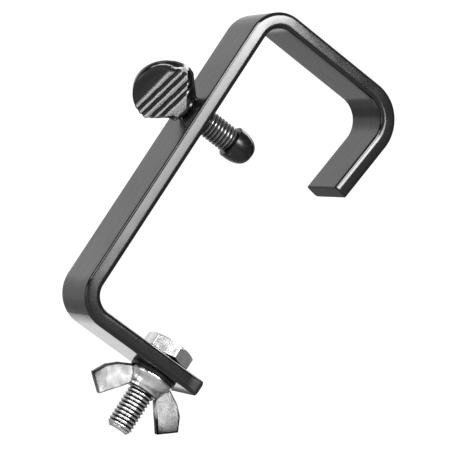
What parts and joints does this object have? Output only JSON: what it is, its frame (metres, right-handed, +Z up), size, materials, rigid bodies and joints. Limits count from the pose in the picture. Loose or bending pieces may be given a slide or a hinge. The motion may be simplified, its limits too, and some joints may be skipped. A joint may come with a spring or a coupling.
{
  "type": "pipe clamp",
  "caption": "Hook clamp of bent flat bar for a lighting pipe, with a thumb screw and swivelling tip cap, and a hex bolt, washer and wing nut that hold a lamp's yoke.",
  "frame": {"origin": "axis of the held 48.3 mm pipe, in the middle of the bar's width", "axes": "+X from the spine to the lip of the hook, +Y along the pipe, +Z up"},
  "size_m": [0.092, 0.025, 0.1601],
  "materials": {
    "black_bar": "satin",
    "black_screw": "gloss",
    "black_cap": "satin",
    "bright_zinc": "satin",
    "black_washer": "satin"
  },
  "bodies": {
    "bracket": {"hook_bracket": "black_bar"},
    "cap": {"tip_cap": "black_cap"},
    "thumb": {"thumb_screw": "black_screw"},
    "bolt": {"hex_bolt": "bright_zinc"},
    "washer": {"plain_washer": "black_washer"},
    "nut": {"wing_nut": "bright_zinc"}
  },
  "joints": [
    {"name": "screw_travel", "type": "slide", "parent": "bracket", "child": "cap", "axis": [1, 0, 0], "range_m": [-0.01425, 0.00075]},
    {"name": "thumb_turn", "type": "hinge", "parent": "cap", "child": "thumb", "pos_m": [-0.03, 0, -0.019], "axis": [1, 0, 0], "range_deg": [-3420, 180]},
    {"name": "bolt_turn", "type": "hinge", "parent": "bracket", "child": "bolt", "pos_m": [0.00686, 0, -0.1], "axis": [0, 0, 1], "continuous": true},
    {"name": "washer_drop", "type": "slide", "parent": "bolt", "child": "washer", "axis": [0, 0, -1], "range_m": [0, 0.015]},
    {"name": "nut_turn", "type": "hinge", "parent": "washer", "child": "nut", "pos_m": [0.00686, 0, -0.11], "axis": [0, 0, -1], "range_deg": [0, 3600]}
  ],
  "couplings": [
    {"joint": "thumb_turn", "follows": "screw_travel", "rad_per_m": 4188.8},
    {"joint": "nut_turn", "follows": "washer_drop", "rad_per_m": 4188.8}
  ]
}
